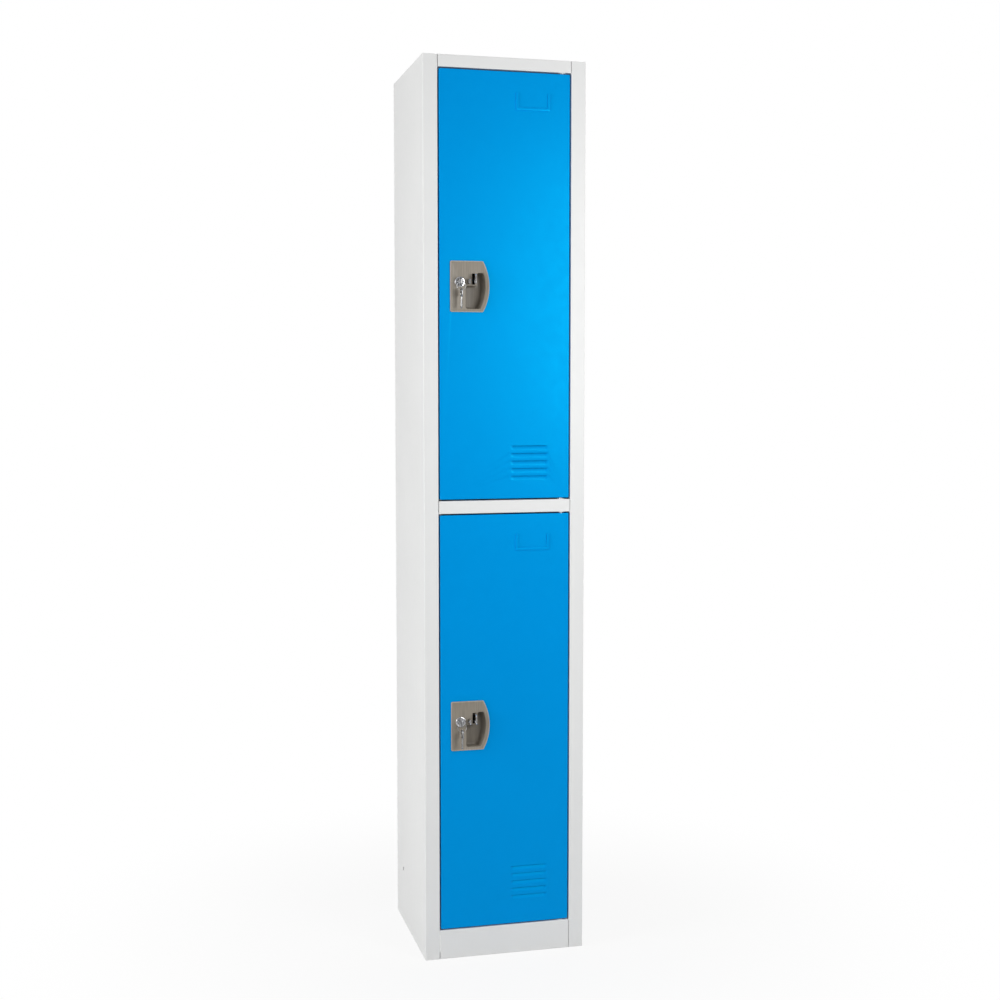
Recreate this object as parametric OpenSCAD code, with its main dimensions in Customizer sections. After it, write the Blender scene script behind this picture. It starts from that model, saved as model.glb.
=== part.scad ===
// Two-tier single-column steel locker cabinet with flush doors hinged on the right.
// Units are millimetres. +Z is up, the doors face -Y, +X is the viewer's right.
// The origin is on the floor, under the middle of the whole assembly with its keys.
// Inside the modules X runs from the left face, Y back from the front face and Z from the floor.

/* [Cabinet] */
// Height of the cabinet
body_h = 1829; // [1700:1:2000]
// Width across the side panels
body_w = 336; // [330:1:460]
// Depth from the front face to the back
body_d = 318; // [290:1:500]
// Thickness of the folded steel sheet
sheet_t = 0.8; // [0.7:0.1:0.9]
// Height of the kick plate
kick_h = 60; // [55:1:90]
// Height of the front strip under the top
top_strip_h = 24; // [22:1:30]
// Height of the front strip between the doors
shelf_strip_h = 26; // [25:1:30]
// Width of the front strip along each side
jamb_w = 30; // [29:0.5:31]

/* [Doors] */
// Gap all round each door
door_gap = 3; // [2.5:0.1:3.2]
// Depth of a door's folded edges
door_depth = 18; // [16:0.5:18]
// Hinge pin centre in from the door's right edge
pivot_inset = 15; // [13:0.5:16]
// Hinge pin centre behind the front face
pivot_y = 8; // [7:0.5:8.5]
// Radius of the hinge pins
pin_r = 3.95; // [3.5:0.05:4.2]
// Radial running clearance of pins and lock plugs
running_gap = 0.05; // [0.03:0.01:0.08]

/* [Ventilation and card holder] */
// Number of louvres in each door
louvre_count = 5; // [3:1:6]
// Width of a louvre
louvre_w = 79; // [60:1:90]
// Spacing of the louvres
louvre_pitch = 15.4; // [14:0.1:17]
// Width of the card holder
card_w = 72; // [60:1:80]
// Height of the card holder
card_h = 33.5; // [28:0.5:40]

/* [Handle] */
// Handle plate's left edge from the cabinet's left face
handle_x = 54.5; // [54:0.5:58]
// Height of the handle plate
handle_h = 101.5; // [100:0.5:104]
// Width of the handle plate at its middle
handle_w = 80.5; // [80:0.5:82]
// Depth of the finger recess behind the door's face
recess_depth = 17; // [14:0.5:17]
// How far the lower handle sits below its door's middle
lower_handle_drop = 5; // [0:0.5:10]

/* [Lock and keys] */
// Radius of the lock barrel
barrel_r = 8; // [7.5:0.1:8]
// Radius of the lock plug's bore
plug_bore_r = 5.5; // [5.2:0.1:5.8]
// Length of the lock cam from the lock's axis to its tip
cam_reach = 38; // [35:0.5:40]
// Radius of the hole for a padlock
padlock_hole_r = 3.25; // [3:0.05:3.5]

/* [Hidden] */
$fn = 64;
lower = 0;
upper = 1;
tiers = [lower, upper];
tier_names = ["lower_", "upper_"];
TIER_PARTS = [
    "coat_hook", "padlock_arm", "padlock_hook", "door_panel", "door_stiffener", "hinge_brackets",
    "hinge_pins", "handle_cup", "handle_screws", "padlock_eye", "lock_barrel", "lock_nut",
    "lock_plug", "lock_cam", "cam_screw", "key", "key_ring", "spare_key",
];

sheet_white = [0.90, 0.90, 0.90];
door_blue = [0.0, 0.56, 0.86];
handle_grey = [0.55, 0.52, 0.47];
chrome_grey = [0.80, 0.80, 0.82];
zinc_grey = [0.66, 0.67, 0.68];
nylon_white = [0.93, 0.93, 0.90];
rubber_black = [0.12, 0.12, 0.12];

// Places derived from the driving sizes
h = sheet_t / 2;                    // from a sheet's face to its middle
bend_in = 0.5;                      // inside radius of the folds
bend_out = bend_in + sheet_t;       // outside radius of the folds
seam = 0.8;                         // gap between neighbouring front strips
fit_gap = 0.1;                      // gap between sheets that lie against each other
stop_y = 20;                        // front face of the door stop
stop_w = 12;                        // how far the stop stands into the opening
jamb_back = stop_y + sheet_t;       // back face of the channel behind each jamb
strip_return = 18;                  // depth of the front strips' lower folds
strip_lip = 8;                      // height of the lip at the end of that fold
rear_flange_w = 16;                 // side panels' rear flanges
foot_w = 20;                        // side panels' bottom flanges
shelf_flange_h = 15;                // rear flanges of top and shelves
back_y = body_d - 2 * sheet_t - fit_gap;  // front face of the back panel
shelf_back = back_y - fit_gap;      // rear face of the shelves' flanges
opening_x = [jamb_w, body_w - jamb_w];
opening_h = (body_h - kick_h - top_strip_h - shelf_strip_h) / 2;
opening_z = [kick_h, kick_h + opening_h + shelf_strip_h];
shelf_z = opening_z[upper];         // top surface of the middle shelf
bottom_shelf_z = kick_h - sheet_t - fit_gap;

door_x = [jamb_w + door_gap, body_w - jamb_w - door_gap];
door_h = opening_h - 2 * door_gap;
door_z = [for (d = tiers) opening_z[d] + door_gap];
pivot_x = door_x[1] - pivot_inset;
pin_bore_r = pin_r + running_gap;
bush_r = 5.5;                       // radius of a bush's body
bracket_t = 2.5;                    // thickness of the hinge brackets
pin_reach = 8.5;                    // how far a pin stands out of the door

handle_z = [door_z[0] + door_h / 2 - lower_handle_drop, door_z[1] + door_h / 2];
plate_proud = 2;                    // handle plate's face in front of the door
rim_proud = 2.8;                    // its rim
rim_w = 2.4;
plate_corner_w = 67.5;              // plate's width at its top and bottom edges
bulge = handle_w - plate_corner_w;
bulge_r = (pow(handle_h / 2, 2) + bulge * bulge) / (2 * bulge);
recess_wall = 2;
recess_x = 32;                      // left side of the finger recess, from the plate's left edge
recess_step_x = 55;                 // where its top steps up, right of the padlock hook
recess_z = [-44, 1.5, 27];          // bottom, left top and right top, from the plate's middle
recess_side = 8;                    // from the plate's bowed side to the recess's
boss_places = [[7.5, 38], [7.5, -38], [57.5, 40]];
boss_r = 3.5;

lock_dx = 19.5;                     // lock's axis from the plate's left edge
lock_dz = 9;                        // and above the plate's middle
barrel_front = -4.5;
barrel_back = 24.8;
cam_y = [25, 27];
plug_r = plug_bore_r - running_gap;
key_t = 2;
key_bow = [16, 18];                 // length and width of a key's bow
key_hole_in = 4.5;                  // hole's centre from the bow's end
key_hole_r = 2.3;
key_blade = [23.5, 7];
keyway_end = 18;
bow_front = -22;                    // front end of the inserted key's bow
ring_y = bow_front + key_hole_in;   // the ring hangs in this plane
ring_r = 9;
ring_wire_r = 0.75;
front_reach = key_bow[1] / 2 - ring_y; // the hanging key stands furthest forward

eye_x = [36, 38];                   // the fixed padlock eye's two faces, from the plate's left edge
hook_x = [47.75, 50.25];            // the cabinet's padlock hook's two faces
padlock_y = -11;                    // centre of the padlock hole
padlock_dz = 9.5;
hook_t = hook_x[1] - hook_x[0];
hook_arm_z = [21, 31];
hook_weld_y = 12;                   // where the hook is welded to its arm
hook_rivet_x = [34, 39];
hook_rivet_z = (hook_arm_z[0] + hook_arm_z[1]) / 2;

rail_w = 15;
rail_t = 1.2;
rail_y = [30, body_d - 30];
rail_screw_y = [55, body_d - 55];
rail_screw_in = 9;                  // screws from the cabinet's side faces
kick_screw_x = [60, body_w / 2, body_w - 60];
kick_screw_y = 13;
m4_r = 2;
m4_hole_r = 2.1;
m4_nut_w = 7;                       // across its flats
m4_nut_h = 3.2;
back_screw_z = [for (i = [0:5]) 66 + i * (body_h - 132) / 5];
back_screw_in = 8;
anchor_r = 3.25;                    // wall anchor holes
anchor_dx = 100;                    // either side of the middle
anchor_z = body_h - 89;
gang_r = 4;                         // hole for bolting cabinets side by side
gang_place = [body_d - 74, 116];    // its depth and height
card_top = 41.5;                    // card holder's top edge below the door's top
card_x = 189.5;
louvre_x = 179.5;
louvre_low = [59, 46];              // lowest louvre's slit above each door's bottom
louvre_h = 9;
louvre_in = 2.8;
stiffener_x = [140, 172];
stiffener_end = 40;
coat_hook_y = 150;

// ---- Vectors, rounded outlines and folded sheets -------------------------------------------

function unit(v) = v / norm(v);
function turned(v, a) = [v.x * cos(a) - v.y * sin(a), v.x * sin(a) + v.y * cos(a)];
function turn_from(u, v) = atan2(u.x * v.y - u.y * v.x, u.x * v.x + u.y * v.y);

// The corner at b, on the way from a to c, as an arc of radius r
function corner(a, b, c, r, steps = 5) =
    r <= 0 ? [b] :
    let (u = unit(b - a), v = unit(c - b), turn = turn_from(u, v))
    abs(turn) < 1 ? [b] :
    let (start = b - u * r * tan(abs(turn) / 2), out = -sign(turn) * turned(u, 90) * r)
    [for (k = [0:steps]) start - out + turned(out, turn * k / steps)];

// A closed outline with each corner rounded to its own radius
function rounded(points, radii) =
    let (n = len(points))
    [for (i = [0:n - 1]) each corner(points[(i + n - 1) % n], points[i], points[(i + 1) % n], radii[i])];

function same(value, list) = [for (item = list) value];

// A rectangle from low to high, rounded to radius r
function round_box(low, high, r) =
    rounded([low, [high.x, low.y], high, [low.x, high.y]], [r, r, r, r]);

// A line moved sideways by d, mitred at its corners
function beside(path, d) =
    let (n = len(path), heads = [for (i = [0:n - 2]) turned(unit(path[i + 1] - path[i]), 90)])
    [for (i = [0:n - 1])
        let (u = heads[max(i - 1, 0)], v = heads[min(i, n - 2)])
        path[i] + d * (u + v) / (1 + u * v)];

// Fold radii along one side of a folded sheet: side is 1 on the left of the path
function fold_radii(path, side, t, r) =
    [for (i = [0:len(path) - 1])
        i == 0 || i == len(path) - 1 ? 0 :
        turn_from(path[i] - path[i - 1], path[i + 1] - path[i]) * side > 0 ? r : r + t];

function reversed(list) = [for (i = [len(list) - 1:-1:0]) list[i]];

// Section of a sheet folded along a path, which follows the middle of its thickness
module folded(path, t = sheet_t, r = bend_in) {
    points = concat(beside(path, t / 2), reversed(beside(path, -t / 2)));
    radii = concat(fold_radii(path, 1, t, r), reversed(fold_radii(path, -1, t, r)));
    polygon(rounded(points, radii));
}

// Extrusions of an outline: drawn in Y and Z, in X and Z, and in X and Y
module along_x(x0, x1) { translate([x0, 0, 0]) rotate([90, 0, 90]) linear_extrude(x1 - x0) children(); }
module along_y(y0, y1) { translate([0, y1, 0]) rotate([90, 0, 0]) linear_extrude(y1 - y0) children(); }
module along_z(z0, z1) { translate([0, 0, z0]) linear_extrude(z1 - z0) children(); }

module block(low, high) { translate(low) cube(high - low); }
module bar_x(place, r, l) { translate(place) rotate([0, 90, 0]) cylinder(h = l, r = r); }
module bar_y(place, r, l) { translate(place) rotate([-90, 0, 0]) cylinder(h = l, r = r); }
module bar_z(place, r, l) { translate(place) cylinder(h = l, r = r); }

// From the cabinet's own corner to the assembly's frame
module placed() { translate([-body_w / 2, (front_reach - body_d) / 2, 0]) children(); }

module at_handle(d) { translate([handle_x, 0, handle_z[d]]) children(); }
module at_lock(d) { at_handle(d) translate([lock_dx, 0, lock_dz]) children(); }
module mirror_x() { translate([body_w, 0, 0]) mirror([1, 0, 0]) children(); }

// A pan-head screw: its head stands above z = 0 and its shank goes down
module pan_screw(shank_l, r = m4_r, head_r = 3.6, head_h = 1.8) {
    difference() {
        union() {
            cylinder(h = head_h - 0.6, r = head_r);
            translate([0, 0, head_h - 0.6]) cylinder(h = 0.6, r1 = head_r, r2 = head_r - 0.8);
            translate([0, 0, -shank_l]) cylinder(h = shank_l, r = r);
        }
        for (a = [0, 90]) rotate([0, 0, a]) block([-1.8, -0.4, head_h - 1], [1.8, 0.4, head_h + 1]);
    }
}

module hex_nut(hole_r, flats, thick) {
    difference() {
        cylinder(h = thick, r = flats / sqrt(3), $fn = 6);
        translate([0, 0, -1]) cylinder(h = thick + 2, r = hole_r);
    }
}

// ---- Cabinet -------------------------------------------------------------------------------

// One side, folded from a single sheet; reach is how far its last fold goes from the jamb's edge
module side_panel(reach) {
    path = [
        [rear_flange_w, body_d - h], [h, body_d - h], [h, h], [jamb_w - h, h],
        [jamb_w - h, stop_y + h], [jamb_w + reach, stop_y + h],
    ];
    strips = [
        [-1, kick_h + 1], [opening_z[lower] + opening_h - 1, shelf_z + 1],
        [body_h - top_strip_h - 1, body_h],
    ];
    difference() {
        union() {
            along_z(0, body_h - sheet_t) folded(path);
            block([h, h, 0], [foot_w, body_d - h, sheet_t]);
        }
        for (z = strips)
            block([jamb_w + 0.01, stop_y - 1, z[0]], [jamb_w + stop_w + 1, stop_y + 2, z[1]]);
        bar_x([-1, gang_place.x, gang_place.y], gang_r, 3);
        for (z = back_screw_z) bar_y([back_screw_in, body_d - 2, z], m4_hole_r, 4);
    }
}

module left_side_panel() {
    color(sheet_white) placed() difference() {
        side_panel(stop_w);
        for (d = tiers) for (x = hook_rivet_x)
            bar_y([x, stop_y - 1, handle_z[d] + hook_rivet_z], m4_r, 3);
    }
}

module right_side_panel() {
    color(sheet_white) placed() mirror_x() side_panel(-stop_w);
}

module back_panel() {
    side = sheet_t + seam;
    top = body_h - sheet_t - fit_gap;
    color(sheet_white) placed() difference() {
        block([side, back_y, 2], [body_w - side, back_y + sheet_t, top]);
        for (x = [back_screw_in, body_w - back_screw_in]) for (z = back_screw_z)
            bar_y([x, back_y - 1, z], m4_hole_r, 4);
        for (s = [-1, 1]) bar_y([body_w / 2 + s * anchor_dx, back_y - 1, anchor_z], anchor_r, 4);
    }
}

// Path of a shelf with a front strip of the given height, down to the strip's returned lip
function shelf_path(top, strip_h) = [
    [shelf_back - h, top - shelf_flange_h], [shelf_back - h, top - h], [h, top - h],
    [h, top - strip_h + h], [strip_return, top - strip_h + h], [strip_return, top - strip_h + strip_lip],
];

module strip_span(path) {
    along_x(opening_x[0] + seam, opening_x[1] - seam) folded(path);
}

// A shelf's flat floor, from side panel to side panel
module shelf_floor(top) {
    side = sheet_t + seam;
    block([side, jamb_back + seam, top - sheet_t], [body_w - side, shelf_back - bend_out, top]);
}

// Holes for a hinge bush and a coat hook's rivets
module bush_hole(z) { bar_z([pivot_x, pivot_y, z - 5], bush_r, 8); }
module rivet_holes(z) {
    for (s = [-1, 1]) bar_z([body_w / 2 + s * 13, coat_hook_y, z - 3], m4_r, 6);
}

module rail_screw_holes(z) {
    for (x = [rail_screw_in, body_w - rail_screw_in]) for (y = rail_screw_y)
        bar_z([x, y, z - 3], m4_hole_r, 6);
}

module top_panel() {
    top = body_h - sheet_t;
    edge = 3;
    color(sheet_white) placed() difference() {
        union() {
            strip_span(shelf_path(body_h, top_strip_h));
            block([0, edge, top], [body_w, body_d, body_h]);
            for (x = [0, opening_x[1] - seam]) block([x, 0, top], [x + jamb_w + seam, edge + 1, body_h]);
            for (x = [sheet_t + seam, body_w - 2 * sheet_t - seam])
                block([x, jamb_back + 4, body_h - shelf_flange_h], [x + sheet_t, shelf_back - 20, body_h - h]);
        }
        bush_hole(body_h - top_strip_h);
        rivet_holes(body_h);
    }
}

module middle_shelf() {
    color(sheet_white) placed() difference() {
        union() {
            strip_span(shelf_path(shelf_z, shelf_strip_h));
            shelf_floor(shelf_z);
        }
        bush_hole(shelf_z);
        bush_hole(shelf_z - shelf_strip_h);
        rivet_holes(shelf_z);
        rail_screw_holes(shelf_z);
    }
}

module bottom_shelf() {
    top = bottom_shelf_z;
    lip_y = 1.7;
    lip_h = 9;
    path = [
        [shelf_back - h, top - shelf_flange_h], [shelf_back - h, top - h],
        [lip_y, top - h], [lip_y, top - lip_h],
    ];
    color(sheet_white) placed() difference() {
        union() {
            strip_span(path);
            shelf_floor(top);
        }
        bush_hole(top);
        rail_screw_holes(top);
        for (x = kick_screw_x) bar_z([x, kick_screw_y, top - 3], m4_hole_r, 6);
    }
}

module kick_plate() {
    path = [[strip_return, strip_lip], [strip_return, h], [h, h], [h, kick_h - h], [22, kick_h - h]];
    color(sheet_white) placed() difference() {
        strip_span(path);
        bush_hole(kick_h);
        for (x = kick_screw_x) bar_z([x, kick_screw_y, kick_h - 3], m4_hole_r, 6);
    }
}

// Angles welded to the side panels, which the two shelves are screwed down to
module shelf_rails() {
    color(sheet_white) placed() for (z = [bottom_shelf_z, shelf_z]) {
        top = z - sheet_t;
        difference() {
            for (side = [0, 1]) if (side == 0) rail(top); else mirror_x() rail(top);
            rail_screw_holes(z);
        }
    }
}

module rail(top) {
    x = sheet_t + rail_t / 2;
    z = top - rail_t / 2;
    path = [[x, top - rail_w], [x, z], [sheet_t + rail_w, z]];
    along_y(rail_y[0], rail_y[1]) folded(path, t = rail_t);
}

// Each place where a shelf is screwed to its rails
module at_rail_screws() {
    for (z = [bottom_shelf_z, shelf_z]) for (x = [rail_screw_in, body_w - rail_screw_in])
        for (y = rail_screw_y) translate([x, y, z]) children();
}

module frame_screws() {
    shank_l = 8;
    color(zinc_grey) placed() {
        at_rail_screws() pan_screw(shank_l);
        for (x = kick_screw_x) translate([x, kick_screw_y, kick_h]) pan_screw(shank_l, head_h = 1.6);
    }
}

module frame_nuts() {
    color(zinc_grey) placed() {
        at_rail_screws() translate([0, 0, -sheet_t - rail_t - m4_nut_h]) hex_nut(m4_r, m4_nut_w, m4_nut_h);
        for (x = kick_screw_x)
            translate([x, kick_screw_y, bottom_shelf_z - sheet_t - m4_nut_h]) hex_nut(m4_r, m4_nut_w, m4_nut_h);
    }
}

// Driven from inside, so that nothing stands out of the back
module back_panel_screws() {
    color(zinc_grey) placed() for (x = [back_screw_in, body_w - back_screw_in]) for (z = back_screw_z)
        translate([x, back_y, z]) rotate([90, 0, 0]) pan_screw(body_d - back_y - 0.3, head_r = 3.4);
}

// Nylon bushes in the front strips, each with its flange towards the door
module hinge_bushes() {
    color(nylon_white) placed() for (d = tiers) {
        translate([pivot_x, pivot_y, opening_z[d] + opening_h]) hinge_bush();
        translate([pivot_x, pivot_y, opening_z[d]]) mirror([0, 0, 1]) hinge_bush();
    }
}

module hinge_bush() {
    rotate_extrude() polygon([
        [pin_bore_r, -1], [7, -1], [7, 0], [bush_r, 0], [bush_r, 4], [pin_bore_r, 4],
    ]);
}

module door_bumpers() {
    ends = 60;
    color(rubber_black) placed() for (d = tiers) for (z = [ends, door_h - ends])
        translate([jamb_w + 7, stop_y, door_z[d] + z]) rotate([90, 0, 0]) {
            cylinder(h = 1, r = 4.5);
            translate([0, 0, 1]) cylinder(h = 0.6, r1 = 4.5, r2 = 4);
        }
}

// A double coat hook under each compartment's ceiling
function ceiling_z(d) = d == upper ? body_h - sheet_t : shelf_z - sheet_t;

module coat_hook(d) {
    base_t = 1.5;
    bend = 11;
    wire_r = 2;
    color(zinc_grey) placed() translate([body_w / 2, coat_hook_y, ceiling_z(d) - base_t]) {
        difference() {
            along_z(0, base_t) polygon(round_box([-20, -8], [20, 8], 4));
            for (s = [-1, 1]) translate([s * 13, 0, -1]) cylinder(h = 4, r = m4_r);
        }
        for (s = [-1, 1]) translate([0, s * 3, 0]) {
            translate([0, 0, -22]) cylinder(h = 22.1, r = wire_r);
            translate([0, s * bend, -22]) rotate([90, 0, 90]) rotate_extrude(angle = -180)
                translate([bend, 0]) circle(r = wire_r);
            translate([0, 2 * s * bend, -22]) cylinder(h = 5, r = wire_r);
            translate([0, 2 * s * bend, -16]) sphere(r = 3.4);
        }
    }
}

module coat_hook_rivets() {
    color(zinc_grey) placed() for (d = tiers) for (s = [-1, 1])
        translate([body_w / 2 + s * 13, coat_hook_y, ceiling_z(d) - 1.5]) {
            cylinder(h = 1.5 + sheet_t, r = m4_r);
            translate([0, 0, -1.2]) cylinder(h = 1.2, r1 = 2.6, r2 = 3.6);
        }
}

// ---- Padlock fittings ----------------------------------------------------------------------

// From the door stop the arm runs behind the door and turns forward to carry the hook
module padlock_arm(d) {
    arm_y = jamb_back + hook_t / 2;
    x = (hook_x[0] + hook_x[1]) / 2;
    path = [[31.5 - handle_x, arm_y], [x, arm_y], [x, hook_weld_y]];
    color(chrome_grey) placed() at_handle(d) difference() {
        along_z(hook_arm_z[0], hook_arm_z[1]) folded(path, t = hook_t, r = 2);
        for (rx = hook_rivet_x) bar_y([rx - handle_x, jamb_back - 1, hook_rivet_z], m4_r, 5);
    }
}

// The cabinet's own hook, which stands out through the handle
module padlock_hook(d) {
    outline = [
        [hook_weld_y, hook_arm_z[0]], [8, 11], [2, 4.5], [-19, 4.5],
        [-19, 25], [2, 25], [hook_weld_y, hook_arm_z[1]],
    ];
    color(chrome_grey) placed() at_handle(d) difference() {
        along_x(hook_x[0], hook_x[1]) polygon(rounded(outline, [0, 2, 0, 4, 7, 0, 0]));
        bar_x([hook_x[0] - 1, padlock_y, padlock_dz], padlock_hole_r, hook_t + 2);
    }
}

module padlock_hook_rivets() {
    rivet_l = sheet_t + hook_t;
    color(zinc_grey) placed() for (d = tiers) for (x = hook_rivet_x)
        translate([x, stop_y, handle_z[d] + hook_rivet_z]) rotate([-90, 0, 0]) {
            cylinder(h = rivet_l, r = m4_r);
            translate([0, 0, rivet_l]) cylinder(h = 0.8, r1 = 2.4, r2 = 2);
            translate([0, 0, -0.9]) cylinder(h = 0.9, r1 = 1.8, r2 = 2.4);
        }
}

// The door's own eye beside the hook, clinched behind the handle plate
module padlock_eye(d) {
    z = [4.2, 14.8];
    path = [[eye_x[1] - 1, -18], [eye_x[1] - 1, 1], [eye_x[1] + 6, 1]];
    color(chrome_grey) placed() at_handle(d) difference() {
        intersection() {
            along_z(z[0], z[1]) folded(path, t = 2, r = 0.6);
            along_x(eye_x[0] - 1, eye_x[1] + 9) polygon(round_box([-18, z[0]], [4, z[1]], 4));
        }
        bar_x([eye_x[0] - 1, padlock_y, padlock_dz], padlock_hole_r, 4);
    }
}

// ---- Doors ---------------------------------------------------------------------------------

// One louvre, pressed inwards below a slit whose top edge is at z
module louvre_window(z) { block([louvre_x, -1, z - louvre_h], [louvre_x + louvre_w, sheet_t + 0.01, z]); }
module louvre(z) {
    along_x(louvre_x - h, louvre_x + louvre_w + h)
        folded([[h, z - louvre_h - 2], [h, z - louvre_h], [h + louvre_in, z - 1.6]]);
    cheek = [[0.1, z - louvre_h], [h + louvre_in, z - 1.2], [h + louvre_in, z], [0.1, z]];
    for (x = [louvre_x - sheet_t, louvre_x + louvre_w]) along_x(x, x + sheet_t) polygon(cheek);
}

// Pressed holder, open at the top, which a name card slides down into
module card_holder(top) {
    bar = 6;
    lip = 2;
    proud = 1.4;
    slot = 0.7;
    high = [card_x + card_w, top];
    low = [card_x, top - card_h];
    difference() {
        along_y(-proud, 0.1) polygon(rounded([low, [high.x, low.y], high, [low.x, high.y]], [3, 3, 0, 0]));
        block([low.x + lip, -slot, low.y + lip], [high.x - lip, 0.2, high.y + 1]);
        block([low.x + bar, -proud - 1, low.y + bar], [high.x - bar, 0.2, high.y + 1]);
    }
}

module door_panel(d) {
    z = [door_z[d], door_z[d] + door_h];
    lip = 10;
    edge_y = door_depth - h;
    across = [
        [door_x[0] + lip, edge_y], [door_x[0] + h, edge_y], [door_x[0] + h, h],
        [door_x[1] - h, h], [door_x[1] - h, edge_y], [door_x[1] - lip, edge_y],
    ];
    upright = [
        [edge_y, z[0] + lip], [edge_y, z[0] + h], [h, z[0] + h],
        [h, z[1] - h], [edge_y, z[1] - h], [edge_y, z[1] - lip],
    ];
    slits = [for (i = [0:louvre_count - 1]) z[0] + louvre_low[d] + i * louvre_pitch];
    color(door_blue) placed() {
        difference() {
            union() {
                along_z(z[0] + bend_out, z[1] - bend_out) folded(across);
                along_x(door_x[0] + bend_out, door_x[1] - bend_out) folded(upright);
            }
            at_handle(d) along_y(-1, 2) polygon(plate_outline(-3));
            for (hz = z) bar_z([pivot_x, pivot_y, hz - 3], pin_r, 6);
            for (slit = slits) louvre_window(slit);
        }
        for (slit = slits) louvre(slit);
        card_holder(z[1] - card_top);
    }
}

module door_stiffener(d) {
    foot = 9;
    crown = 11.5;
    path = [
        [stiffener_x[0], sheet_t + fit_gap + h], [stiffener_x[0] + foot, sheet_t + fit_gap + h],
        [stiffener_x[0] + foot, crown], [stiffener_x[1] - foot, crown],
        [stiffener_x[1] - foot, sheet_t + fit_gap + h], [stiffener_x[1], sheet_t + fit_gap + h],
    ];
    color(door_blue) placed()
        along_z(door_z[d] + stiffener_end, door_z[d] + door_h - stiffener_end) folded(path);
}

// Above and below: s is 1 at the door's top and -1 at its bottom
module at_hinge(d, s) {
    z = s > 0 ? door_z[d] + door_h : door_z[d];
    translate([pivot_x, pivot_y, z]) mirror([0, 0, s > 0 ? 0 : 1]) children();
}

module hinge_brackets(d) {
    right = pivot_inset - sheet_t - fit_gap - bracket_t / 2;
    top = -sheet_t - fit_gap;
    path = [[-13, top - bracket_t / 2], [right, top - bracket_t / 2], [right, top - 32]];
    color(zinc_grey) placed() for (s = [-1, 1]) at_hinge(d, s) difference() {
        along_y(-6, 8) folded(path, t = bracket_t, r = 1.5);
        bar_z([0, 0, top - bracket_t - 1], pin_r, 5);
    }
}

module hinge_pins(d) {
    collar_top = -sheet_t - fit_gap - bracket_t;
    color(zinc_grey) placed() for (s = [-1, 1]) at_hinge(d, s) rotate_extrude() polygon([
        [0, collar_top - 2.5], [6, collar_top - 2.5], [6, collar_top], [pin_r, collar_top],
        [pin_r, pin_reach - 1], [pin_r - 1, pin_reach], [0, pin_reach],
    ]);
}

// ---- Handle --------------------------------------------------------------------------------

// Points of an upright arc that bows to the right, from z0 up to z1
function bow(centre_x, r, z0, z1, steps) =
    [for (i = [0:steps]) let (z = z0 + (z1 - z0) * i / steps) [centre_x + sqrt(r * r - z * z), z]];

// The handle plate's outline, grown by g
function plate_outline(g) =
    let (side = bow(handle_w - bulge_r, bulge_r + g, -handle_h / 2 - g, handle_h / 2 + g, 10))
    rounded(
        concat([[-g, -handle_h / 2 - g]], side, [[-g, handle_h / 2 + g]]),
        concat([3 + g / 2, 3], same(0, [1:9]), [3, 3 + g / 2])
    );

// The finger recess's outline, grown by g; its top steps up beside the padlock hook
function recess_outline(g) =
    let (
        r = bulge_r - recess_side + g,
        side = bow(handle_w - bulge_r, r, recess_z[0] - g, recess_z[2] + g, 8),
        outer = 3 + g / 2,
        inner = 3 - g / 2
    )
    rounded(
        concat(
            [[recess_x - g, recess_z[0] - g]], side,
            [
                [recess_step_x - g, recess_z[2] + g], [recess_step_x - g, recess_z[1] + g],
                [recess_x - g, recess_z[1] + g],
            ]
        ),
        concat([outer, outer], same(0, [1:7]), [outer, outer, inner, outer])
    );

module handle_cup(d) {
    floor_y = recess_depth;
    slot_z = [4, 26];
    hook_slot = [hook_x[0] - 2.95, hook_x[1] + 2.05];
    color(handle_grey) placed() at_handle(d) difference() {
        union() {
            along_y(-plate_proud, 0) polygon(plate_outline(0));
            difference() {
                along_y(-rim_proud, -plate_proud / 2) polygon(plate_outline(0));
                along_y(-rim_proud - 1, 0) polygon(plate_outline(-rim_w));
            }
            difference() {
                along_y(-0.5, sheet_t) polygon(plate_outline(-3.2));
                along_y(0, sheet_t + 1) polygon(plate_outline(-5));
            }
            along_y(-0.5, floor_y + recess_wall) polygon(recess_outline(recess_wall));
            for (b = boss_places) bar_y([b.x, -0.5, b.y], boss_r, sheet_t + 0.5);
        }
        along_y(-rim_proud - 1, floor_y) polygon(recess_outline(0));
        bar_y([lock_dx, -5, lock_dz], barrel_r, 8);
        block([hook_slot[0], -5, slot_z[0]], [hook_slot[1], 4, slot_z[1]]);
        block([eye_x[0] - 0.1, -5, 4], [eye_x[1] + 0.7, 2, 15]);
        for (b = boss_places) bar_y([b.x, -1, b.y], 1.3, 4);
    }
}

// Screws with broad washers, which clamp the plate to the door's skin
module handle_screws(d) {
    color(zinc_grey) placed() at_handle(d) for (b = boss_places)
        translate([b.x, sheet_t, b.y]) rotate([-90, 0, 0]) {
        cylinder(h = 1, r = 7);
        translate([0, 0, 1]) pan_screw(2.6, r = 1.25, head_r = 3.2, head_h = 1.8);
    }
}

// ---- Lock and keys -------------------------------------------------------------------------

module lock_barrel(d) {
    face_r = 10.5;
    color(chrome_grey) placed() at_lock(d) rotate([-90, 0, 0]) rotate_extrude() polygon([
        [plug_bore_r, barrel_front], [face_r - 1.2, barrel_front], [face_r, barrel_front + 1.2],
        [face_r, -plate_proud], [barrel_r, -plate_proud], [barrel_r, barrel_back], [plug_bore_r, barrel_back],
    ]);
}

module lock_nut(d) {
    color(zinc_grey) placed() at_lock(d) rotate([-90, 0, 0]) rotate([0, 0, 30]) hex_nut(barrel_r, 20, 4);
}

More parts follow.
